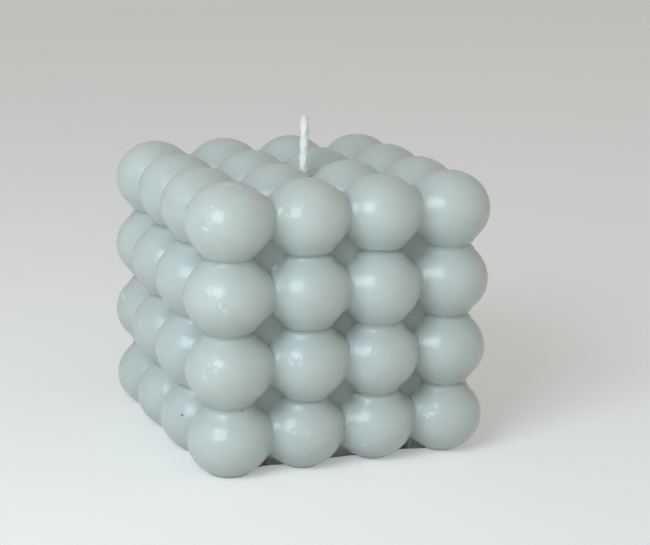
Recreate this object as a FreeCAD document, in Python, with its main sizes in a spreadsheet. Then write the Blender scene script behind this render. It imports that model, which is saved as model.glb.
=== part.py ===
import FreeCAD, Part
import Sketcher
import math
import os

# Bubble cube candle: one cast block of wax, four bubbles wide, deep and high, on a solid core,
# with a cotton wick cast into it. Millimetres, +Z up. The origin is the middle of the flat base.
# The front is towards -Y, and the wick stands a little to the right of the middle, towards +X.

doc = FreeCAD.newDocument("BubbleCubeCandle")

SIZES = [
    ("ball_across", 19.4, "width of a bubble"),
    ("ball_squat", 1.6, "how much lower than wide a bubble is"),
    ("ball_pitch", 18.0, "middle to middle of neighbours, side by side"),
    ("ball_rise", 16.7, "middle to middle of neighbours, one above the other"),
    ("side_bulge", 1.5, "how far the four middle bubbles of a side stand out"),
    ("foot_drop", 8.0, "lowest bubble middles down to the flat base"),
    ("wick_across", 2.2, "thickness of the wick"),
    ("wick_right", 1.2, "wick's middle, right of the block's middle"),
    ("wick_stand", 9.3, "tip of the wick above the tops of the bubbles"),
    ("tip_drop", 0.85, "fall of the snipped tip from its ridge to its sides"),
]

sheet = doc.addObject("Spreadsheet::Sheet", "Sizes")
for row, (word, value, meaning) in enumerate(SIZES, start=1):
    sheet.set("A%d" % row, meaning)
    sheet.set("B%d" % row, str(value))
    sheet.setAlias("B%d" % row, word)
doc.recompute()

# Lengths that follow from the sizes.
BALL_HIGH = "(Sizes.ball_across - Sizes.ball_squat)"
TOP_MIDDLES = "(Sizes.foot_drop + 3 * Sizes.ball_rise)"
BLOCK_TOP = "(%s + %s / 2)" % (TOP_MIDDLES, BALL_HIGH)
HALF_CORE = "(1.5 * Sizes.ball_pitch)"

FIRST, LAST = 0, 3
PLACES = range(FIRST, LAST + 1)


def outer(row):
    """-1 or 1 for the first and last bubble of a row, 0 for the two middle ones."""
    return {FIRST: -1, LAST: 1}.get(row, 0)


def place(thing, x="0", y="0", z="0"):
    """Ties an object's position to the sheet."""
    for axis, formula in (("x", x), ("y", y), ("z", z)):
        thing.setExpression("Placement.Base." + axis, formula)


def constrain(sketch, kind, size, *where):
    """Adds a dimension to a sketch and ties it to the sheet."""
    number = sketch.addConstraint(Sketcher.Constraint(kind, *where))
    sketch.setExpression("Constraints[%d]" % number, size)


# One bubble: half an ellipse, closed along the upright axis and turned about it. The half is an
# exact one: two quarters, each held by the corner of its box at the weight of a quarter circle.
# It stands on the diagonal, so that the bubble's seam keeps off the core's sides.
half = doc.addObject("Sketcher::SketchObject", "BubbleHalf")
half.Placement = FreeCAD.Placement(FreeCAD.Vector(0, 0, 0), FreeCAD.Rotation(45, 0, 90))
CORNER_WEIGHT = math.sqrt(0.5)
out = sheet.ball_across / 2
up = (sheet.ball_across - sheet.ball_squat) / 2
outline = Part.BSplineCurve()
outline.buildFromPolesMultsKnots(
    [FreeCAD.Vector(*spot, 0) for spot in ((0, -up), (out, -up), (out, 0), (out, up), (0, up))],
    [3, 2, 3],
    [0, 1, 2],
    False,
    2,
    [1, CORNER_WEIGHT, 1, CORNER_WEIGHT, 1],
)
curve = half.addGeometry(outline, False)
half.exposeInternalGeometry(curve)
FOOT, LOW_CORNER, WAIST, HIGH_CORNER, CROWN = range(curve + 1, curve + 6)
upright = Part.LineSegment(FreeCAD.Vector(0, -up, 0), FreeCAD.Vector(0, up, 0))
spine = half.addGeometry(upright, False)
for kind, *where in (
    ("Coincident", curve, 1, spine, 1),
    ("Coincident", curve, 2, spine, 2),
    ("PointOnObject", spine, 1, -2),
    ("Symmetric", spine, 1, spine, 2, -1, 1),
    ("Horizontal", FOOT, 3, LOW_CORNER, 3),
    ("Horizontal", CROWN, 3, HIGH_CORNER, 3),
    ("Vertical", LOW_CORNER, 3, WAIST, 3),
    ("Vertical", HIGH_CORNER, 3, WAIST, 3),
    ("PointOnObject", WAIST, 3, -1),
    ("Weight", LOW_CORNER, CORNER_WEIGHT),
    ("Weight", HIGH_CORNER, CORNER_WEIGHT),
):
    half.addConstraint(Sketcher.Constraint(kind, *where))
constrain(half, "DistanceX", "Sizes.ball_across / 2", -1, 1, WAIST, 3, out)
constrain(half, "DistanceY", BALL_HIGH, spine, 1, spine, 2, 2 * up)

bubble = doc.addObject("Part::Revolution", "Bubble")
bubble.Source = half
bubble.Axis = FreeCAD.Vector(0, 0, 1)
bubble.Angle = 360
bubble.Solid = True

# The bubbles that show: all but the eight inside. The middle four of each side stand out.
lumps = []
for i in PLACES:
    for j in PLACES:
        for k in PLACES:
            edges = [outer(i), outer(j), outer(k)]
            if not any(edges):
                continue
            out_x = edges[0] if not edges[1] and not edges[2] else 0
            out_y = edges[1] if not edges[0] and not edges[2] else 0
            lump = doc.addObject("App::Link", "Bubble_%d%d%d" % (i + 1, j + 1, k + 1))
            lump.LinkedObject = bubble
            place(
                lump,
                "%s * Sizes.ball_pitch + %d * Sizes.side_bulge" % (i - 1.5, out_x),
                "%s * Sizes.ball_pitch + %d * Sizes.side_bulge" % (j - 1.5, out_y),
                "Sizes.foot_drop + %d * Sizes.ball_rise" % k,
            )
            lumps.append(lump)

# The core that closes the gaps. Its four sides are pillowed, so that each one runs through the
# middles of its bubbles: shallow domes whose height falls with the square of the distance from
# the side's middle, by side_bulge from the middle bubbles to those beside them.
blank = doc.addObject("Part::Box", "CoreBlank")
for side in ("Length", "Width"):
    blank.setExpression(side, "2 * %s + 4 * Sizes.side_bulge" % HALF_CORE)
blank.setExpression("Height", TOP_MIDDLES)
place(blank, "-%s - 2 * Sizes.side_bulge" % HALF_CORE, "-%s - 2 * Sizes.side_bulge" % HALF_CORE)
DOME_RADIUS = "Sizes.ball_pitch ^ 2 / Sizes.side_bulge"
DOME_MIDDLE = "(%s + 1.25 * Sizes.side_bulge - %s)" % (HALF_CORE, DOME_RADIUS)
domes = []
for name, along_x, along_y in (("Right", 1, 0), ("Left", -1, 0), ("Back", 0, 1), ("Front", 0, -1)):
    dome = doc.addObject("Part::Sphere", "Core" + name)
    dome.setExpression("Radius", DOME_RADIUS)
    place(
        dome,
        "%d * %s" % (along_x, DOME_MIDDLE),
        "%d * %s" % (along_y, DOME_MIDDLE),
        "Sizes.foot_drop + 1.5 * Sizes.ball_rise",
    )
    domes.append(dome)
core = doc.addObject("Part::MultiCommon", "Core")
core.Shapes = [blank] + domes

casting = doc.addObject("Part::MultiFuse", "Casting")
casting.Shapes = lumps + [core]

# The open face of the mould: one flat base that slices the lowest bubbles.
below = doc.addObject("Part::Box", "BelowBase")
for side in ("Length", "Width"):
    below.setExpression(side, "4 * Sizes.ball_pitch + 2 * Sizes.ball_across")
below.setExpression("Height", "Sizes.ball_across")
BELOW_CORNER = "-2 * Sizes.ball_pitch - Sizes.ball_across"
place(below, BELOW_CORNER, BELOW_CORNER, "-Sizes.ball_across")
block = doc.addObject("Part::Cut", "Block")
block.Base = casting
block.Tool = below

# The wax lies tight round the wick, all the way down to the base.
bore = doc.addObject("Part::Cylinder", "WickBore")
bore.setExpression("Radius", "Sizes.wick_across / 2")
bore.setExpression("Height", "2 * Sizes.ball_across + %s" % BLOCK_TOP)
place(bore, "Sizes.wick_right", "0", "-Sizes.ball_across")
wax = doc.addObject("Part::Cut", "Wax")
wax.Label = "wax_body"
wax.Base = block
wax.Tool = bore

# The wick: a round cord from the base to its tip, snipped to a blunt ridge from front to back.
wick = doc.addObject("PartDesign::Body", "Wick")
wick.Label = "wick"
place(wick, "Sizes.wick_right")
planes = {plane.Role: plane for plane in wick.Origin.OriginFeatures}

section = wick.newObject("Sketcher::SketchObject", "WickSection")
section.AttachmentSupport = [(planes["XY_Plane"], "")]
section.MapMode = "FlatFace"
radius = sheet.wick_across / 2
ring = Part.Circle(FreeCAD.Vector(), FreeCAD.Vector(0, 0, 1), radius)
circle = section.addGeometry(ring, False)
section.addConstraint(Sketcher.Constraint("Coincident", circle, 3, -1, 1))
constrain(section, "Radius", "Sizes.wick_across / 2", circle, radius)
cord = wick.newObject("PartDesign::Pad", "WickCord")
cord.Profile = section
WICK_TIP = "%s + Sizes.wick_stand" % BLOCK_TOP
cord.setExpression("Length", WICK_TIP)
wick.Tip = cord
doc.recompute()
uncut = wick.Shape.Volume

# Each snip is a triangle beside the ridge, seen from the front: along the top, down outside the
# cord, and back up the slope, which falls by tip_drop from the ridge to the cord's side.
snips = wick.newObject("Sketcher::SketchObject", "WickSnips")
snips.AttachmentSupport = [(planes["XZ_Plane"], "")]
snips.MapMode = "FlatFace"
tip = cord.Length.Value
reach = sheet.wick_across
fall = 2 * sheet.tip_drop
for way in (-1, 1):
    corners = [(0, tip), (reach * way, tip), (reach * way, tip - fall)]
    lines = []
    for start, end in zip(corners, corners[1:] + corners[:1]):
        segment = Part.LineSegment(FreeCAD.Vector(*start, 0), FreeCAD.Vector(*end, 0))
        lines.append(snips.addGeometry(segment, False))
    for line, following in zip(lines, lines[1:] + lines[:1]):
        snips.addConstraint(Sketcher.Constraint("Coincident", line, 2, following, 1))
    snips.addConstraint(Sketcher.Constraint("PointOnObject", lines[0], 1, -2))
    snips.addConstraint(Sketcher.Constraint("Horizontal", lines[0]))
    snips.addConstraint(Sketcher.Constraint("Vertical", lines[1]))
    constrain(snips, "DistanceY", WICK_TIP, -1, 1, lines[0], 1, tip)
    constrain(snips, "Distance", "Sizes.wick_across", lines[0], reach)
    constrain(snips, "Distance", "2 * Sizes.tip_drop", lines[1], fall)
snip = wick.newObject("PartDesign::Pocket", "WickTip")
snip.Profile = snips
snip.Type = "ThroughAll"
snip.Midplane = True
wick.Tip = snip
doc.recompute()

for thing in doc.Objects:
    if {"Invalid", "Error"} & set(thing.State):
        raise RuntimeError("%s failed: %s" % (thing.Name, thing.State))
if not wick.Shape.Volume < uncut:
    raise RuntimeError("the wick's tip was not snipped")

os.makedirs("parts", exist_ok=True)
for node in (wax, wick):
    shape = node.Shape
    if shape.isNull() or not shape.isValid() or len(shape.Solids) != 1:
        raise RuntimeError("%s is not one sound solid" % node.Label)
for node in (wax, wick):
    node.Shape.exportStep(os.path.join("parts", node.Label + ".step"))
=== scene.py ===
"""Bubble cube candle: casts the wax block, braids its wick and sets a plain pale stage."""

import math

import bmesh
import bpy
import numpy as np
from bpy.props import FloatProperty, FloatVectorProperty, IntProperty, PointerProperty
from mathutils import Matrix, Vector


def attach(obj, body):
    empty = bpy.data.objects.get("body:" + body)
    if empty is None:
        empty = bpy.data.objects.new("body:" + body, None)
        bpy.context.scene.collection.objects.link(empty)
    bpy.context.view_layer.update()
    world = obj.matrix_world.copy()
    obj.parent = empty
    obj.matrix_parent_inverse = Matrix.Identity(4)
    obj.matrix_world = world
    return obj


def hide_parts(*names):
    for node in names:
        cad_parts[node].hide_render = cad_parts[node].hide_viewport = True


bl_info = {
    "name": "Bubble Cube Candle",
    "version": (1, 0, 0),
    "blender": (4, 5, 0),
    "location": "3D View > Sidebar > Candle",
    "description": "Casts the wax block, braids its wick and sets the stage",
    "category": "Add Mesh",
}

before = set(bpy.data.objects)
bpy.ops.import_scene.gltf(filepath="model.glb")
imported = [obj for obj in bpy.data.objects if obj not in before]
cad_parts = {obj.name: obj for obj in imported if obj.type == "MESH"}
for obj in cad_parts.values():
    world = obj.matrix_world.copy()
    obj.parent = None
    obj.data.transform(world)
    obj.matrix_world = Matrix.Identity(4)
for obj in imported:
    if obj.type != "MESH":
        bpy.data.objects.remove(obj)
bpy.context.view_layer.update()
MM = 1000.0


# Marks of casting and handling: the bubble, counted from the front left foot, the line over it
# as turns and lifts in degrees (turn 0 faces the front, lift 90 is straight up), the radius for
# a ring, then the width and the height of the mark in millimetres.
MARKS = (
    ((0, 0, 3), ((-45, 68), (-31, 76), (-1, 75)), 0, 0.22, 0.17),
    ((0, 0, 3), ((13, 68), (16, 66)), 0, 0.26, 0.17),
    ((0, 0, 3), ((-54, 1), (-49, -1)), 0, 0.3, 0.12),
    ((0, 0, 3), ((-49, 33),), 0, 0.26, 0.12),
    ((0, 0, 2), ((-26, -5), (-23, -7)), 0, 0.26, 0.30),
    ((0, 0, 2), ((-30, -1),), 0, 0.24, 0.22),
    ((0, 0, 2), ((-31, 4), (-30, 5)), 0, 0.24, 0.20),
    ((0, 0, 2), ((-20, -3),), 0, 0.2, 0.15),
    ((0, 0, 2), ((-34, 9),), 0, 0.24, 0.16),
    ((0, 0, 2), ((-101, -1), (-97, 2)), 0, 0.22, 0.12),
    ((0, 0, 1), ((-54, 10), (-53, 4), (-50, -2), (-45, -6)), 0, 0.22, 0.10),
    ((0, 0, 1), ((-41, -10), (-34, -13)), 0, 0.2, 0.06),
    ((0, 3, 3), ((-84, 67),), 0, 0.2, 0.08),
    ((1, 3, 3), ((-30, 46),), 0, 0.2, 0.08),
    ((0, 1, 3), ((-103, 44), (-98, 46)), 0, 0.22, 0.12),
    ((0, 1, 3), ((-85, 9), (-81, 8)), 0, 0.22, 0.10),
    ((0, 1, 3), ((-55, 22),), 0, 0.22, 0.10),
    ((0, 2, 2), ((-84, 51), (-80, 50)), 0, 0.22, 0.10),
    ((0, 2, 2), ((-29, 56),), 0, 0.2, 0.10),
    ((0, 3, 2), ((-75, 13), (-72, 17)), 0, 0.24, 0.10),
    ((2, 0, 1), ((-62, 22), (-62, 12)), 0, 0.22, 0.10),
    ((3, 0, 1), ((-64, 24), (-64, 14)), 0, 0.22, 0.10),
    ((2, 0, 0), ((-62, 28), (-61, 18), (-63, 8)), 0, 0.24, 0.14),
    ((2, 0, 0), ((-39, -22), (-34, -22)), 0, 0.22, 0.14),
    ((3, 0, 0), ((-65, 29),), 0, 0.22, 0.10),
    ((3, 0, 0), ((-43, 27), (-40, 24)), 0, 0.24, 0.12),
    ((0, 0, 0), ((45, 43),), 0, 0.3, 0.15),
    ((1, 0, 3), ((-50, 9),), 0.4, 0.14, 0.1),
    ((1, 0, 3), ((-27, 35),), 0, 0.22, 0.09),
    ((1, 0, 2), ((-93, 32), (-97, 40)), 0, 0.26, 0.24),
    ((1, 0, 2), ((-23, 7),), 0, 0.22, 0.1),
    ((1, 0, 2), ((12, -3),), 0.7, 0.26, 0.04),
    ((1, 0, 0), ((-16, 14),), 0.5, 0.15, 0.1),
    ((1, 0, 0), ((-36, -20), (-24, -24), (-8, -20), (14, -8), (26, -2)), 0, 0.26, -0.1),
    ((1, 0, 0), ((-22, -23), (-13, -22)), 0, 0.22, 0.09),
    ((2, 0, 1), ((-31, 53),), 0, 0.26, 0.15),
    ((2, 0, 0), ((-80, 27),), 0, 0.3, 0.2),
    ((2, 0, 0), ((-64, 57),), 0, 0.26, 0.14),
    ((2, 0, 0), ((-71, -28), (-58, -42), (-36, -50), (-18, -48)), 0, 0.26, -0.17),
    ((3, 0, 1), ((-29, 63),), 0, 0.26, 0.15),
    ((3, 0, 0), ((-48, 11), (-44, 9)), 0, 0.26, 0.17),
    ((0, 1, 1), ((-97, -1),), 0, 0.26, 0.12),
    ((0, 1, 1), ((-84, -4),), 0, 0.38, 0.14),
    ((0, 2, 2), ((-78, -7),), 0, 0.3, 0.15),
    ((0, 2, 1), ((-72, 14),), 0, 0.34, 0.17),
    ((0, 3, 1), ((-91, 28), (-84, 25), (-77, 22)), 0, 0.3, 0.2),
    ((0, 0, 2), ((-46, 63), (-30, 62), (-14, 64)), 0, 0.2, 0.13),
    ((1, 0, 2), ((-48, 62), (-33, 62), (-19, 63)), 0, 0.2, 0.13),
    ((1, 0, 2), ((-90, 34), (-91, 42)), 0, 0.24, 0.2),
)

# Bubbles that stand a little off the mould's even grid: right, back and up in millimetres, and
# how much wider than the others.
OFF_GRID = {
    (0, 0, 3): (-0.35, 0, 0, 1.03),
    (0, 0, 2): (-0.45, -0.5, 0, 1.05),
    (0, 0, 1): (-0.15, -0.5, 0, 1.035),
    (0, 0, 0): (0.4, 0, 0, 1),
    (1, 0, 1): (0.2, 0, 0.35, 1),
    (1, 0, 0): (0, 0, 0.3, 1),
    (2, 0, 2): (-0.4, 0, -0.2, 1),
    (2, 0, 1): (-0.4, 0, 0.25, 1),
    (2, 0, 0): (-0.1, 0, 0.5, 1),
    (3, 0, 3): (-0.5, 0, 0, 1),
    (3, 0, 2): (-0.2, 0, 0.15, 1),
    (3, 0, 1): (-0.3, 0, 0.3, 1),
    (3, 0, 0): (-0.4, 0, 0.5, 1),
    (0, 1, 3): (-0.35, 0, 0, 1),
    (0, 3, 0): (0.4, 0, 0, 1),
    (1, 2, 3): (0.35, 0, 0, 1),
    (3, 3, 3): (0.3, 0, -0.4, 1),
}

# Patches where the skin is mottled: the bubble, turn and lift, radius and height in millimetres.
PEELS = (
    ((0, 0, 3), -57, 17, 2.6, 0.05),
    ((0, 0, 2), -44, 14, 2.0, 0.05),
    ((0, 0, 1), -42, 14, 2.4, 0.06),
    ((0, 0, 0), -38, 17, 2.4, 0.05),
    ((1, 0, 3), -44, 22, 2.2, 0.06),
    ((1, 0, 1), -36, 16, 2.2, 0.07),
    ((1, 0, 0), -36, 18, 2.4, 0.06),
    ((2, 0, 1), -34, 22, 2.6, 0.06),
    ((3, 0, 0), -48, 16, 2.4, 0.07),
)

# The skin's unevenness, in millimetres: the height of its slow and of its fine waves, and how far
# it lies below the smooth skin on average.
SLOW_WAVES = 0.035
FINE_WAVES = 0.012
SKIN_SINK = 0.094

# The lip round the base: how far it stands out and how high it reaches, in millimetres.
LIP_OUT = 0.3
LIP_HIGH = 0.45

# The longest edges of the mesh in millimetres: in mottled patches, at marks in turn, by the base.
PEEL_EDGE = 0.28
MARK_EDGES = (0.35, 0.2, 0.11)
BASE_EDGE = 0.35

# Specks of dirt cast into the skin: the bubble, turn and lift in degrees, and radius in metres.
SPECKS = (
    ((0, 1, 0), -48, 16, 0.00024),
    ((0, 0, 0), 11, 61, 0.00021),
    ((0, 0, 2), -80, -6, 0.00013),
)

# The wick's braid: its strands, where it starts inside the wax, and what is snipped off above the
# tip, in millimetres.
STRANDS = 6
BRAID_FOOT = 56.0
SNIPPED = 0.6


# Sizes and finishes


class WaxProps(bpy.types.PropertyGroup):
    """The cast block: its bubbles, its core and its finish"""

    ball_across: FloatProperty(
        name="Bubble Width", description="Width of a bubble", default=0.0194, unit="LENGTH"
    )
    ball_high: FloatProperty(
        name="Bubble Height", description="Height of a bubble", default=0.0178, unit="LENGTH"
    )
    ball_pitch: FloatProperty(
        name="Pitch", description="Middle to middle, side by side", default=0.018, unit="LENGTH"
    )
    ball_rise: FloatProperty(
        name="Rise",
        description="Middle to middle, one above another",
        default=0.0167,
        unit="LENGTH",
    )
    side_bulge: FloatProperty(
        name="Side Bulge",
        description="How far the four middle bubbles of a side stand out",
        default=0.0015,
        unit="LENGTH",
    )
    foot_drop: FloatProperty(
        name="Foot Drop",
        description="Lowest bubble middles down to the flat base",
        default=0.008,
        unit="LENGTH",
    )
    crease: FloatProperty(
        name="Side Rounding",
        description="Reach of the rounding where bubbles run into those beside them",
        default=0.0024,
        unit="LENGTH",
    )
    neck: FloatProperty(
        name="Neck Rounding",
        description="Reach of the rounding where bubbles stand on each other",
        default=0.0040,
        unit="LENGTH",
    )
    core_crease: FloatProperty(
        name="Core Rounding",
        description="Reach of the rounding where bubbles run into the core",
        default=0.0009,
        unit="LENGTH",
    )
    foot_high: FloatProperty(
        name="Wick Foot",
        description="How far the wax is drawn up the wick above the core",
        default=0.0042,
        unit="LENGTH",
    )
    tint: FloatVectorProperty(
        name="Wax Colour",
        description="Colour of the wax",
        subtype="COLOR",
        size=3,
        min=0,
        max=1,
        default=(0.525, 0.580, 0.572),
    )
    most_faces: IntProperty(
        name="Triangles", description="Triangles of the finished block", default=150000, min=20000
    )


class WickProps(bpy.types.PropertyGroup):
    """The waxed cotton wick"""

    across: FloatProperty(
        name="Thickness", description="Thickness of the wick", default=0.0022, unit="LENGTH"
    )
    right: FloatProperty(
        name="Right of Middle",
        description="Wick's middle, right of the block's middle",
        default=0.0012,
        unit="LENGTH",
    )
    tip: FloatProperty(
        name="Tip Height", description="Ridge of the snipped tip", default=0.0763, unit="LENGTH"
    )
    tip_drop: FloatProperty(
        name="Tip Fall",
        description="Fall of the tip from its ridge to its sides",
        default=0.00085,
        unit="LENGTH",
    )
    lay: FloatProperty(
        name="Lay", description="Length of one turn of a strand", default=0.0076, unit="LENGTH"
    )
    tint: FloatVectorProperty(
        name="Cotton Colour",
        description="Colour of the waxed cotton",
        subtype="COLOR",
        size=3,
        min=0,
        max=1,
        default=(0.99, 1.0, 1.0),
    )


class StageProps(bpy.types.PropertyGroup):
    """Floor, lamps and camera"""

    floor_tint: FloatVectorProperty(
        name="Floor Colour",
        description="Colour of the floor and the wall behind",
        subtype="COLOR",
        size=3,
        min=0,
        max=1,
        default=(0.80, 0.80, 0.79),
    )
    turn: FloatProperty(
        name="Camera Turn",
        description="Camera's place round the candle, from the front",
        default=math.radians(-23.31),
        subtype="ANGLE",
    )
    lift: FloatProperty(
        name="Camera Lift",
        description="Camera's angle above the table",
        default=math.radians(13.80),
        subtype="ANGLE",
    )
    roll: FloatProperty(
        name="Camera Roll",
        description="Camera's turn about its own view",
        default=math.radians(1.524),
        subtype="ANGLE",
    )
    distance: FloatProperty(
        name="Camera Distance", description="Camera to its aim", default=0.42957, unit="LENGTH"
    )
    aim: FloatVectorProperty(
        name="Aim",
        description="Point in the middle of the view",
        size=3,
        subtype="XYZ",
        default=(0.007495, 0.0, 0.037656),
    )
    lens: FloatProperty(name="Lens", description="Focal length in mm", default=97.855)


# Shapes


def heading(turn, lift):
    """The direction at a turn from the front and a lift above the level, in radians."""
    return (
        math.sin(turn) * math.cos(lift),
        -math.cos(turn) * math.cos(lift),
        math.sin(lift),
    )


class BubbleBlock:
    """The wax surface as a field in millimetres: below zero inside the wax, above it outside."""

    def __init__(self, wax, wick):
        self.half = np.array([wax.ball_across, wax.ball_across, wax.ball_high]) * MM / 2
        self.pitch = wax.ball_pitch * MM
        self.rise = wax.ball_rise * MM
        self.bulge = wax.side_bulge * MM
        self.drop = wax.foot_drop * MM
        self.crease = wax.crease * MM
        self.neck = wax.neck * MM
        self.core_crease = wax.core_crease * MM
        self.foot_high = wax.foot_high * MM
        self.wick_right = wick.right * MM
        self.wick_radius = wick.across * MM / 2
        self.middles = np.zeros((4, 4, 4, 3))
        self.wider = np.ones((4, 4, 4))
        self.shown = []
        for spot in np.ndindex(4, 4, 4):
            outer = [(n == 3) - (n == 0) for n in spot]
            # The middle bubbles of the four sides stand out; those of the top and base do not.
            alone = sum(map(abs, outer)) == 1
            self.middles[spot] = (
                (spot[0] - 1.5) * self.pitch + self.bulge * outer[0] * alone,
                (spot[1] - 1.5) * self.pitch + self.bulge * outer[1] * alone,
                self.drop + spot[2] * self.rise,
            )
            if any(outer):
                self.shown.append(spot)
        for spot, (right, back, up, wider) in OFF_GRID.items():
            self.middles[spot] += (right, back, up)
            self.wider[spot] = wider
        self.dome = self.pitch**2 / self.bulge
        self.dome_middle = 1.5 * self.pitch + 1.25 * self.bulge - self.dome

    def halves(self, spots):
        """Half the width, depth and height of bubbles."""
        wider = np.asarray(self.wider[spots])[..., None]
        return self.half * np.concatenate([wider, wider, np.ones_like(wider)], -1)

    def ball(self, points, spots):
        """Distance to a squat ball, close to true near its surface."""
        q = points - self.middles[spots]
        half = self.halves(spots)
        near = np.sqrt(((q / half) ** 2).sum(1))
        steep = np.sqrt(((q / half**2) ** 2).sum(1))
        return near * (near - 1) / np.maximum(steep, 1e-9)

    def core(self, points):
        """Distance to the core: four pillowed sides and a flat top."""
        x, y, z = points.T
        z_off = z - (self.drop + 1.5 * self.rise)
        parts = [z - (self.drop + 3 * self.rise)]
        for side in (1, -1):
            off = side * self.dome_middle
            parts.append(np.sqrt((x - off) ** 2 + y**2 + z_off**2) - self.dome)
            parts.append(np.sqrt(x**2 + (y - off) ** 2 + z_off**2) - self.dome)
        return np.max(parts, axis=0)

    def join(self, a, b, reach):
        """The nearer of two distances, rounded where they are alike."""
        mix = np.maximum(reach - np.abs(a - b), 0) / reach
        return np.minimum(a, b) - mix * mix * reach / 4

    def distance(self, points):
        """Distance to the wax: the three nearest bubbles and the core, joined."""
        x, y, z = points.T
        layer = (z - self.drop) / self.rise
        cell = np.stack([x / self.pitch + 1.5, y / self.pitch + 1.5, layer], 1)
        cell = np.clip(np.floor(cell).astype(int), 0, 2)
        balls = []
        for step in np.ndindex(2, 2, 2):
            balls.append(self.ball(points, tuple((cell + np.array(step)).T)))
        balls = np.sort(np.array(balls), axis=0)[:3]
        # Half way up between two layers of bubbles the rounding is that of a neck.
        upright = np.clip(1.6 - 4 * np.abs(layer - np.floor(layer) - 0.5), 0, 1)
        reach = self.crease + (self.neck - self.crease) * upright
        joined = self.join(self.join(balls[0], balls[1], reach), balls[2], reach)
        joined = self.join(joined, self.core(points), self.core_crease)
        return self.join(joined, self.wick_foot(points), self.core_crease)

    def spot(self, ball, turn, lift):
        """A place on a bubble's skin, from its turn and lift in degrees."""
        way = heading(math.radians(turn), math.radians(lift))
        return self.middles[ball] + self.halves(ball) * way

    def wick_foot(self, points):
        """Distance to the wax that is drawn up round the wick's foot."""
        x, y, z = points.T
        top = self.drop + 3 * self.rise + self.foot_high
        out = np.sqrt((x - self.wick_right) ** 2 + y**2) - self.wick_radius
        return out * 0.93 + (z - top) * 0.36

    def slope(self, points, reach=0.02):
        """Which way the distance grows."""
        result = np.empty_like(points)
        for axis in range(3):
            step = np.zeros(3)
            step[axis] = reach
            result[:, axis] = self.distance(points + step) - self.distance(points - step)
        return result / (2 * reach)


def apply_modifiers(piece):
    """Bakes a piece's modifiers into its mesh."""
    bpy.context.view_layer.update()
    evaluated = piece.evaluated_get(bpy.context.evaluated_depsgraph_get())
    mesh = bpy.data.meshes.new_from_object(evaluated)
    piece.modifiers.clear()
    old = piece.data
    piece.data = mesh
    bpy.data.meshes.remove(old)


def add_piece(name, bm):
    """Makes an object of a bmesh and links it to the scene."""
    mesh = bpy.data.meshes.new(name)
    bm.to_mesh(mesh)
    bm.free()
    piece = bpy.data.objects.new(name, mesh)
    bpy.context.scene.collection.objects.link(piece)
    return piece


def read_points(mesh):
    """A mesh's points in millimetres."""
    points = np.empty(len(mesh.vertices) * 3)
    mesh.vertices.foreach_get("co", points)
    return points.reshape(-1, 3) * MM


def write_points(mesh, points):
    """Puts points in millimetres back into a mesh."""
    mesh.vertices.foreach_set("co", (points / MM).ravel())
    mesh.update()


def combine(piece, tool, operation):
    """Joins a tool to a piece or cuts it out, and takes the tool away."""
    cut = piece.modifiers.new("combine", "BOOLEAN")
    cut.operation = operation
    cut.solver = "MANIFOLD"
    cut.object = tool
    apply_modifiers(piece)
    bpy.data.objects.remove(tool)


def rod(name, radius, low, high, x=0.0, sides=64):
    """A closed upright rod in millimetres."""
    bm = bmesh.new()
    bmesh.ops.create_cone(
        bm,
        cap_ends=True,
        segments=sides,
        radius1=radius / MM,
        radius2=radius / MM,
        depth=(high - low) / MM,
        matrix=Matrix.Translation((x / MM, 0, (low + high) / 2 / MM)),
    )
    return add_piece(name, bm)


def rough_block(block, voxel):
    """All bubbles and the core fused by a voxel remesh, a little below the base too."""
    bm = bmesh.new()
    for spot in block.shown:
        size = Matrix.Diagonal((*(block.halves(spot) / MM), 1))
        bmesh.ops.create_icosphere(
            bm,
            subdivisions=4,
            radius=1,
            matrix=Matrix.Translation(block.middles[spot] / MM) @ size,
        )
    side = 3 * block.pitch / MM
    high = (block.drop + 3 * block.rise + 2) / MM
    box = Matrix.Translation((0, 0, high / 2 - 2 / MM)) @ Matrix.Diagonal((side, side, high, 1))
    bmesh.ops.create_cube(bm, size=1, matrix=box)
    piece = add_piece("wax_block", bm)
    remesh = piece.modifiers.new("fuse", "REMESH")
    remesh.mode = "VOXEL"
    remesh.voxel_size = voxel / MM
    apply_modifiers(piece)
    return piece


def settle(points, block, rounds=3):
    """Moves points onto the wax surface."""
    for _ in range(rounds):
        off = block.distance(points)
        slope = block.slope(points)
        steep = np.maximum((slope**2).sum(1), 0.3)
        points = points - slope * np.clip(off / steep, -0.3, 0.3)[:, None]
    return points


def slice_off(bm, height, way):
    """Cuts off what lies beyond a plane through the upright axis at a height, and closes it."""
    everything = bm.verts[:] + bm.edges[:] + bm.faces[:]
    bmesh.ops.bisect_plane(
        bm, geom=everything, plane_co=(0, 0, height), plane_no=way, clear_outer=True
    )
    rim = [edge for edge in bm.edges if edge.is_boundary]
    bmesh.ops.holes_fill(bm, edges=rim)


def trim_base(piece):
    """Cuts the block flat at the base and closes it."""
    bm = bmesh.new()
    bm.from_mesh(piece.data)
    slice_off(bm, 0, (0, 0, -1))
    bmesh.ops.triangulate(bm, faces=bm.faces[:])
    bm.to_mesh(piece.data)
    bm.free()


def line_distance(points, line):
    """Distance from points to a line of places, or to a single place."""
    nearest = np.full(len(points), np.inf)
    ends = line[1:] if len(line) > 1 else line
    for start, end in zip(line, ends):
        run = end - start
        long = max((run**2).sum(), 1e-9)
        along = np.clip(((points - start) @ run) / long, 0, 1)
        off = points - start - along[:, None] * run
        nearest = np.minimum(nearest, np.sqrt((off**2).sum(1)))
    return nearest


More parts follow.
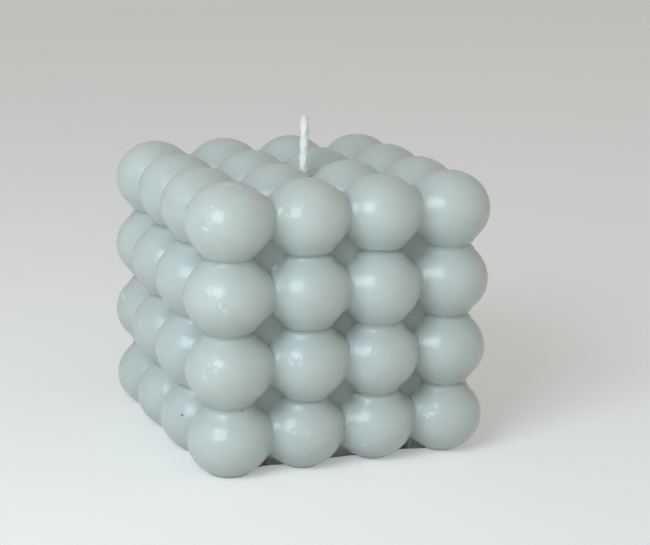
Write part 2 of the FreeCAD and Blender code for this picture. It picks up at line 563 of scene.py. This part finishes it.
def refine(piece, wanted, length):
    """Splits the edges that are too long in the wanted region, and keeps all faces triangles."""
    mesh = piece.data
    points = read_points(mesh)
    ends = np.empty(len(mesh.edges) * 2, dtype=np.int32)
    mesh.edges.foreach_get("vertices", ends)
    ends = ends.reshape(-1, 2)
    one, two = points[ends[:, 0]], points[ends[:, 1]]
    long = np.sqrt(((one - two) ** 2).sum(1)) > length
    chosen = np.flatnonzero(long & wanted((one + two) / 2))
    bm = bmesh.new()
    bm.from_mesh(mesh)
    bm.edges.ensure_lookup_table()
    edges = [bm.edges[number] for number in chosen]
    bmesh.ops.subdivide_edges(bm, edges=edges, cuts=1, use_grid_fill=False)
    bmesh.ops.triangulate(bm, faces=bm.faces[:])
    bm.to_mesh(mesh)
    bm.free()


def skin_normals(mesh):
    """A mesh's point normals."""
    normals = np.empty(len(mesh.vertices) * 3, dtype=np.float32)
    mesh.vertex_normals.foreach_get("vector", normals)
    return normals.reshape(-1, 3).astype(float)


def waver(points, seed, waves, shortest, longest):
    """A slow, smooth unevenness between about -1 and 1."""
    random = np.random.default_rng(seed)
    total = np.zeros(len(points))
    for _ in range(waves):
        way = random.normal(size=3)
        way *= 2 * math.pi / random.uniform(shortest, longest) / np.linalg.norm(way)
        total += np.sin(points @ way + random.uniform(0, 2 * math.pi))
    return total / math.sqrt(waves)


def mark_lines(block):
    """The marks with their lines in millimetres, out on the skin where bubbles run together."""
    lines = []
    for ball, line, ring, width, height in MARKS:
        places = np.array([block.spot(ball, *place) for place in line])
        lines.append((settle(places, block, 5), ring, width, height))
    return lines


def pale_scuffs_and_glints(piece, block):
    """Notes for the finish how much each point is scuffed. There the wax is painted paler, partly
    as whitened scuffed wax and partly as painted highlight for the glints on raised marks.
    """
    # Only raised marks are noted, and the higher ones more: partly scuffed wax, partly painted
    # highlight.
    points = read_points(piece.data)
    scuff_and_glint = np.zeros(len(points))
    for line, ring, width, height in mark_lines(block):
        off = (line_distance(points, line) - ring) / width
        scuff_and_glint = np.maximum(scuff_and_glint, np.exp(-off * off) * min(1, max(0, height) / 0.2))
    layer = piece.data.attributes.new("scuff_and_glint", "FLOAT", "POINT")
    layer.data.foreach_set("value", scuff_and_glint.astype(np.float32))


def weather_block(piece, block):
    """Gives the skin its slight unevenness, its marks and the thin lip round the base."""
    lines = mark_lines(block)

    def near_peels(points):
        near = np.zeros(len(points), dtype=bool)
        for ball, turn, rise, radius, _ in PEELS:
            near |= line_distance(points, [block.spot(ball, turn, rise)]) < 1.3 * radius
        return near

    def near_marks(points):
        near = np.zeros(len(points), dtype=bool)
        for line, ring, width, _ in lines:
            near |= line_distance(points, line) < ring + 2.5 * width
        return near

    refine(piece, near_peels, PEEL_EDGE)
    for length in MARK_EDGES:
        refine(piece, near_marks, length)
    refine(piece, lambda points: points[:, 2] < 2 * LIP_HIGH, BASE_EDGE)
    points = read_points(piece.data)
    on_base = points[:, 2] < 0.03
    points[on_base, 2] = 0
    settled = settle(points, block, 2)
    settled[on_base] = points[on_base]
    settled[:, 2] = np.where(on_base, 0, np.maximum(settled[:, 2], 0.03))
    write_points(piece.data, settled)
    normals = skin_normals(piece.data)
    lift = SLOW_WAVES * np.clip(waver(settled, 4, 14, 9, 26), -2, 2)
    lift += FINE_WAVES * np.clip(waver(settled, 9, 24, 2.5, 5), -2, 2) - SKIN_SINK
    for line, ring, width, height in lines:
        off = (line_distance(settled, line) - ring) / width
        lift += height * np.exp(-off * off)
    for ball, turn, rise, radius, height in PEELS:
        off = line_distance(settled, [block.spot(ball, turn, rise)]) / radius
        lift += height * np.clip(waver(settled, 17, 24, 0.9, 1.8), -1.5, 1) * np.exp(-(off**4))
    # The lip runs round the outside only, where the skin is clear of the core.
    lip = np.clip(1 - settled[:, 2] / LIP_HIGH, 0, 1) * np.clip(block.core(settled) / 1.2, 0, 1)
    lift += LIP_OUT * lip * lip * (3 - 2 * lip)
    # Points on the base move only sideways, and only those at its edge.
    side = normals.copy()
    side[on_base, 2] = 0
    long = np.sqrt((side**2).sum(1))
    flat = np.zeros(len(points), dtype=bool)
    flat[on_base] = long[on_base] < 0.2
    side[on_base] /= np.maximum(long[on_base], 1e-6)[:, None]
    lift[flat] = 0
    moved = settled + side * lift[:, None]
    moved[:, 2] = np.where(on_base, 0, np.maximum(moved[:, 2], 0.02))
    write_points(piece.data, moved)


def sweep(bm, line, radius, sides=12):
    """A closed tube along a line of points in millimetres."""
    ahead = np.gradient(line, axis=0)
    rings = []
    for point, way in zip(line, ahead):
        frame_z = Vector(way).normalized()
        frame_x = (Vector((1, 0, 0)) - frame_z * frame_z.x).normalized()
        frame_y = frame_z.cross(frame_x)
        ring = []
        for number in range(sides):
            angle = 2 * math.pi * number / sides
            spot = Vector(point) + radius * (frame_x * math.cos(angle) + frame_y * math.sin(angle))
            ring.append(bm.verts.new(spot / MM))
        rings.append(ring)
    for one, two in zip(rings, rings[1:]):
        for a in range(sides):
            b = (a + 1) % sides
            bm.faces.new((one[a], one[b], two[b], two[a]))
    bm.faces.new(rings[0][::-1])
    bm.faces.new(rings[-1])


def join_meshes(piece, other):
    """Adds another object's mesh to a piece and removes that object."""
    bm = bmesh.new()
    bm.from_mesh(piece.data)
    bm.from_mesh(other.data)
    bm.to_mesh(piece.data)
    bm.free()
    bpy.data.objects.remove(other)


def snip_tip(mesh, tip, fall, radius):
    """Snips the tip to a blunt ridge that runs from front to back."""
    bm = bmesh.new()
    bm.from_mesh(mesh)
    for way in (-1, 1):
        slice_off(bm, tip / MM, Vector((way * fall, 0, radius)).normalized())
    bmesh.ops.triangulate(bm, faces=bm.faces[:])
    bm.to_mesh(mesh)
    bm.free()


# Finishes


def new_material(name):
    """An empty material with its Principled shader and a place on the piece."""
    material = bpy.data.materials.new(name)
    material.use_nodes = True
    tree = material.node_tree
    tree.nodes.clear()
    output = tree.nodes.new("ShaderNodeOutputMaterial")
    shader = tree.nodes.new("ShaderNodeBsdfPrincipled")
    tree.links.new(shader.outputs["BSDF"], output.inputs["Surface"])
    place = tree.nodes.new("ShaderNodeTexCoord").outputs["Object"]
    return material, tree, shader, place


def noise(tree, place, scale, detail=2.0, roughness=0.5, distortion=0.0):
    """A noise of so many patches to the metre."""
    node = tree.nodes.new("ShaderNodeTexNoise")
    node.inputs["Scale"].default_value = scale
    node.inputs["Detail"].default_value = detail
    node.inputs["Roughness"].default_value = roughness
    node.inputs["Distortion"].default_value = distortion
    tree.links.new(place, node.inputs["Vector"])
    return node.outputs["Fac"]


def spread(tree, value, low, high, start=0.3, end=0.7):
    """Spreads a value between two others."""
    node = tree.nodes.new("ShaderNodeMapRange")
    for name, number in zip(("From Min", "From Max", "To Min", "To Max"), (start, end, low, high)):
        node.inputs[name].default_value = number
    tree.links.new(value, node.inputs["Value"])
    return node.outputs["Result"]


def shade(tree, tint, amount):
    """The tint, made lighter or darker by a varying amount."""
    node = tree.nodes.new("ShaderNodeVectorMath")
    node.operation = "SCALE"
    node.inputs[0].default_value = tint
    tree.links.new(amount, node.inputs["Scale"])
    return node.outputs["Vector"]


def bump(tree, height, distance, strength=1.0, below=None):
    """A bump so many metres high."""
    node = tree.nodes.new("ShaderNodeBump")
    node.inputs["Strength"].default_value = strength
    node.inputs["Distance"].default_value = distance
    tree.links.new(height, node.inputs["Height"])
    if below is not None:
        tree.links.new(below, node.inputs["Normal"])
    return node.outputs["Normal"]


def blend(tree, amount, colour, other):
    """A colour mixed with another by an amount."""
    node = tree.nodes.new("ShaderNodeMix")
    node.data_type = "RGBA"
    node.inputs[7].default_value = other
    tree.links.new(amount, node.inputs[0])
    tree.links.new(colour, node.inputs[6])
    return node.outputs[2]


def speckled(tree, place, colour, block):
    """The colour, with a dark speck at each place of SPECKS."""
    for ball, turn, lift, radius in SPECKS:
        gap = tree.nodes.new("ShaderNodeVectorMath")
        gap.operation = "DISTANCE"
        spot = settle(block.spot(ball, turn, lift)[None], block, 5)
        spot -= SKIN_SINK * block.slope(spot)
        gap.inputs[1].default_value = spot[0] / MM
        tree.links.new(place, gap.inputs[0])
        dark = spread(tree, gap.outputs["Value"], 1, 0, radius * 0.7, radius * 1.3)
        colour = blend(tree, dark, colour, (0.03, 0.028, 0.024, 1))
    return colour


def wax_finish(tint, block):
    """Satin cast wax: cloudy inside, faintly dimpled, with a soft uneven gloss and paler marks that
    are partly painted highlight.
    """
    material, tree, shader, place = new_material("cast_wax")
    cloud = noise(tree, place, 70, 3, 0.55)
    colour = shade(tree, tint, spread(tree, cloud, 0.96, 1.04))
    # Raised marks are painted paler: partly the whitening of scuffed wax, partly painted highlight
    # standing in for their glints.
    scuff_and_glint = tree.nodes.new("ShaderNodeAttribute")
    scuff_and_glint.attribute_name = "scuff_and_glint"
    broken = tree.nodes.new("ShaderNodeMath")
    broken.operation = "MULTIPLY"
    tree.links.new(scuff_and_glint.outputs["Fac"], broken.inputs[0])
    tree.links.new(spread(tree, noise(tree, place, 2600, 2, 0.6), 0.05, 0.85), broken.inputs[1])
    colour = blend(tree, broken.outputs["Value"], colour, (0.93, 0.97, 0.97, 1))
    tree.links.new(speckled(tree, place, colour, block), shader.inputs["Base Color"])
    shader.inputs["Subsurface Weight"].default_value = 1.0
    shader.inputs["Subsurface Radius"].default_value = (1.0, 0.85, 0.7)
    shader.inputs["Subsurface Scale"].default_value = 0.022
    shader.inputs["IOR"].default_value = 1.44
    shader.inputs["Coat Weight"].default_value = 0.6
    shader.inputs["Coat Roughness"].default_value = 0.16
    shader.inputs["Coat IOR"].default_value = 1.45
    bloom = noise(tree, place, 500, 4, 0.6)
    tree.links.new(spread(tree, bloom, 0.40, 0.52), shader.inputs["Roughness"])
    dimples = bump(tree, noise(tree, place, 1100, 2, 0.5), 0.00004)
    grain = bump(tree, noise(tree, place, 4000, 3, 0.6), 0.000006, below=dimples)
    tree.links.new(grain, shader.inputs["Normal"])
    return material


def cotton_finish(tint):
    """Waxed braided cotton: fine fibres along the strands under a thin coat of wax."""
    material, tree, shader, place = new_material("waxed_cotton")
    stretch = tree.nodes.new("ShaderNodeMapping")
    stretch.inputs["Scale"].default_value = (1, 1, 0.15)
    tree.links.new(place, stretch.inputs["Vector"])
    fibre = noise(tree, stretch.outputs["Vector"], 9000, 3, 0.6)
    tree.links.new(shade(tree, tint, spread(tree, fibre, 0.94, 1.0)), shader.inputs["Base Color"])
    shader.inputs["Subsurface Weight"].default_value = 0.2
    shader.inputs["Sheen Weight"].default_value = 0.7
    shader.inputs["Sheen Roughness"].default_value = 0.4
    shader.inputs["Coat Weight"].default_value = 0.5
    shader.inputs["Coat Roughness"].default_value = 0.35
    shader.inputs["Subsurface Radius"].default_value = (1.0, 0.95, 0.9)
    shader.inputs["Subsurface Scale"].default_value = 0.0006
    tree.links.new(spread(tree, fibre, 0.4, 0.6), shader.inputs["Roughness"])
    tree.links.new(bump(tree, fibre, 0.00004), shader.inputs["Normal"])
    return material


def floor_finish(tint):
    """A plain matt floor, pale where it is seen and darker in the light that it throws back."""
    material, tree, shader, _ = new_material("plain_floor")
    path = tree.nodes.new("ShaderNodeLightPath")
    seen = path.outputs["Is Camera Ray"]
    for ray in ("Is Glossy Ray", "Is Transmission Ray"):
        either = tree.nodes.new("ShaderNodeMath")
        either.operation = "MAXIMUM"
        tree.links.new(seen, either.inputs[0])
        tree.links.new(path.outputs[ray], either.inputs[1])
        seen = either.outputs["Value"]
    level = spread(tree, seen, 0.8, 1.0, 0, 1)
    tree.links.new(shade(tree, tint, level), shader.inputs["Base Color"])
    shader.inputs["Emission Color"].default_value = (0.97, 0.98, 1.0, 1)
    glow = spread(tree, seen, 0.0, 0.26, 0, 1)
    tree.links.new(glow, shader.inputs["Emission Strength"])
    shader.inputs["Roughness"].default_value = 0.9
    shader.inputs["Specular IOR Level"].default_value = 0.2
    return material


def coat(piece, material, crease):
    """Gives a piece its finish and smooth shading with sharp creases beyond an angle."""
    piece.data.materials.clear()
    piece.data.materials.append(material)
    piece.data.polygons.foreach_set("use_smooth", [True] * len(piece.data.polygons))
    piece.data.set_sharp_from_angle(angle=math.radians(crease))


# Operators


class CANDLE_OT_cast_wax(bpy.types.Operator):
    """Cast the wax block with its bubbles, core and flat base"""

    bl_idname = "candle.cast_wax"
    bl_label = "Cast Wax"

    def execute(self, context):
        wax = context.scene.candle_wax
        wick = context.scene.candle_wick
        block = BubbleBlock(wax, wick)
        piece = rough_block(block, 0.4)
        write_points(piece.data, settle(read_points(piece.data), block))
        trim_base(piece)
        fewer = piece.modifiers.new("fewer", "DECIMATE")
        fewer.ratio = min(1, wax.most_faces / len(piece.data.polygons))
        apply_modifiers(piece)
        weather_block(piece, block)
        bore = rod("wick_bore", wick.across * MM / 2, -5, 90, wick.right * MM)
        combine(piece, bore, "DIFFERENCE")
        # Raised marks are painted paler: scuffed wax, and in part painted highlight for their
        # glints.
        pale_scuffs_and_glints(piece, block)
        coat(piece, wax_finish(wax.tint, block), 55)
        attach(piece, "root")
        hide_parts("wax_body")
        return {"FINISHED"}


class CANDLE_OT_braid_wick(bpy.types.Operator):
    """Braid the waxed cotton wick and snip its tip"""

    bl_idname = "candle.braid_wick"
    bl_label = "Braid Wick"

    def execute(self, context):
        wick = context.scene.candle_wick
        radius = wick.across * MM / 2
        tip = wick.tip * MM
        bm = bmesh.new()
        heights = np.arange(BRAID_FOOT, tip + SNIPPED, 0.12)
        turns = heights / (wick.lay * MM)
        for number in range(STRANDS):
            # Each strand runs up its own side of the wick and sways from side to side.
            sway = 0.3 * np.sin(2 * math.pi * turns * 2 + number * math.pi * 0.9)
            angle = 2 * math.pi * number / STRANDS + 0.4 + sway
            out = 0.64 * radius + 0.03 * radius * np.cos(2 * math.pi * turns * 4 + number * math.pi)
            line = np.stack([out * np.cos(angle), out * np.sin(angle), heights], 1)
            sweep(bm, line, 0.33 * radius)
        braid = add_piece("braid", bm)
        inner = rod("inner", 0.86 * radius, BRAID_FOOT, tip + SNIPPED, sides=32)
        join_meshes(braid, inner)
        remesh = braid.modifiers.new("fuse", "REMESH")
        remesh.mode = "VOXEL"
        remesh.voxel_size = 0.07 / MM
        soft = braid.modifiers.new("soft", "SMOOTH")
        soft.factor = 0.5
        soft.iterations = 9
        apply_modifiers(braid)
        cord = rod("wick_cord", radius, 0, BRAID_FOOT + 1)
        combine(cord, braid, "UNION")
        snip_tip(cord.data, tip, wick.tip_drop * MM, radius)
        cord.data.transform(Matrix.Translation((wick.right, 0, 0)))
        coat(cord, cotton_finish(wick.tint), 50)
        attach(cord, "root")
        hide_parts("wick")
        return {"FINISHED"}


class CANDLE_OT_set_stage(bpy.types.Operator):
    """Set the plain pale floor, the soft lamps and the camera"""

    bl_idname = "candle.set_stage"
    bl_label = "Set Stage"

    def execute(self, context):
        stage = context.scene.candle_stage
        self.lay_floor(stage)
        self.hang_lamps(context)
        self.place_camera(context, stage)
        context.scene.view_settings.view_transform = "Standard"
        return {"FINISHED"}

    def lay_floor(self, stage):
        """One sheet that runs from the floor up into the wall behind."""
        bm = bmesh.new()
        profile = [(-1.6, 0.0), (1.0, 0.0)]
        for step in range(1, 13):
            angle = math.radians(90 * step / 12)
            profile.append((1.0 + 0.5 * math.sin(angle), 0.5 * (1 - math.cos(angle))))
        profile.append((1.5, 2.2))
        rows = [[bm.verts.new((x, y, z)) for x in (-2.2, 2.2)] for y, z in profile]
        for one, two in zip(rows, rows[1:]):
            face = bm.faces.new((one[0], one[1], two[1], two[0]))
            face.smooth = True
        floor = add_piece("studio_floor", bm)
        floor.data.materials.append(floor_finish(stage.floor_tint))

    def hang_lamps(self, context):
        """A soft window-like lamp at the left, weak ones at the right and in front, an even sky."""
        lamps = (
            ("window_lamp", -53, 29, 0.6, 0.33, 0.33, 2.35, (0.80, 0.95, 1.0)),
            ("side_lamp", 62, 6, 1.2, 0.8, 0.6, 0.8, (1.0, 0.96, 0.86)),
            ("front_lamp", -5, 4, 1.2, 1.0, 0.5, 1.1, (1.0, 0.98, 0.90)),
        )
        for name, turn, lift, far, wide, high, power, tint in lamps:
            lamp = bpy.data.lights.new(name, "AREA")
            lamp.shape = "RECTANGLE"
            lamp.size = wide
            lamp.size_y = high
            lamp.energy = power
            lamp.color = tint
            holder = bpy.data.objects.new(name, lamp)
            way = Vector(heading(math.radians(turn), math.radians(lift)))
            holder.location = Vector((0, 0, 0.035)) + way * far
            holder.rotation_euler = way.to_track_quat("Z", "Y").to_euler()
            context.scene.collection.objects.link(holder)
        world = bpy.data.worlds.new("even_sky")
        world.use_nodes = True
        sky = world.node_tree.nodes["Background"]
        sky.inputs["Color"].default_value = (1.0, 0.965, 0.89, 1)
        sky.inputs["Strength"].default_value = 0.35
        context.scene.world = world

    def place_camera(self, context, stage):
        """The camera looks at its aim from its turn and lift, and rolls a little."""
        back = Vector(heading(stage.turn, stage.lift))
        right = Vector((0, 0, 1)).cross(back).normalized()
        up = back.cross(right)
        side = math.cos(stage.roll) * right + math.sin(stage.roll) * up
        above = math.cos(stage.roll) * up - math.sin(stage.roll) * right
        data = bpy.data.cameras.new("camera")
        data.sensor_fit = "HORIZONTAL"
        data.sensor_width = 36.0
        data.lens = stage.lens
        camera = bpy.data.objects.new("camera", data)
        place = Matrix((side, above, back)).transposed().to_4x4()
        place.translation = Vector(stage.aim) + back * stage.distance
        camera.matrix_world = place
        context.scene.collection.objects.link(camera)
        context.scene.camera = camera


class CANDLE_PT_panel(bpy.types.Panel):
    """Lists the candle's steps and their settings"""

    bl_idname = "CANDLE_PT_panel"
    bl_label = "Bubble Cube Candle"
    bl_space_type = "VIEW_3D"
    bl_region_type = "UI"
    bl_category = "Candle"

    def draw(self, context):
        for operator, settings in (
            (CANDLE_OT_cast_wax, context.scene.candle_wax),
            (CANDLE_OT_braid_wick, context.scene.candle_wick),
            (CANDLE_OT_set_stage, context.scene.candle_stage),
        ):
            box = self.layout.box()
            box.operator(operator.bl_idname)
            for name in settings.__annotations__:
                box.prop(settings, name)


CLASSES = (
    WaxProps,
    WickProps,
    StageProps,
    CANDLE_OT_cast_wax,
    CANDLE_OT_braid_wick,
    CANDLE_OT_set_stage,
    CANDLE_PT_panel,
)


def register():
    for cls in CLASSES:
        bpy.utils.register_class(cls)
    bpy.types.Scene.candle_wax = PointerProperty(type=WaxProps)
    bpy.types.Scene.candle_wick = PointerProperty(type=WickProps)
    bpy.types.Scene.candle_stage = PointerProperty(type=StageProps)


def unregister():
    del bpy.types.Scene.candle_stage
    del bpy.types.Scene.candle_wick
    del bpy.types.Scene.candle_wax
    for cls in reversed(CLASSES):
        bpy.utils.unregister_class(cls)


def main():
    register()
    bpy.ops.candle.set_stage()
    bpy.ops.candle.cast_wax()
    bpy.ops.candle.braid_wick()


if __name__ == "__main__":
    main()
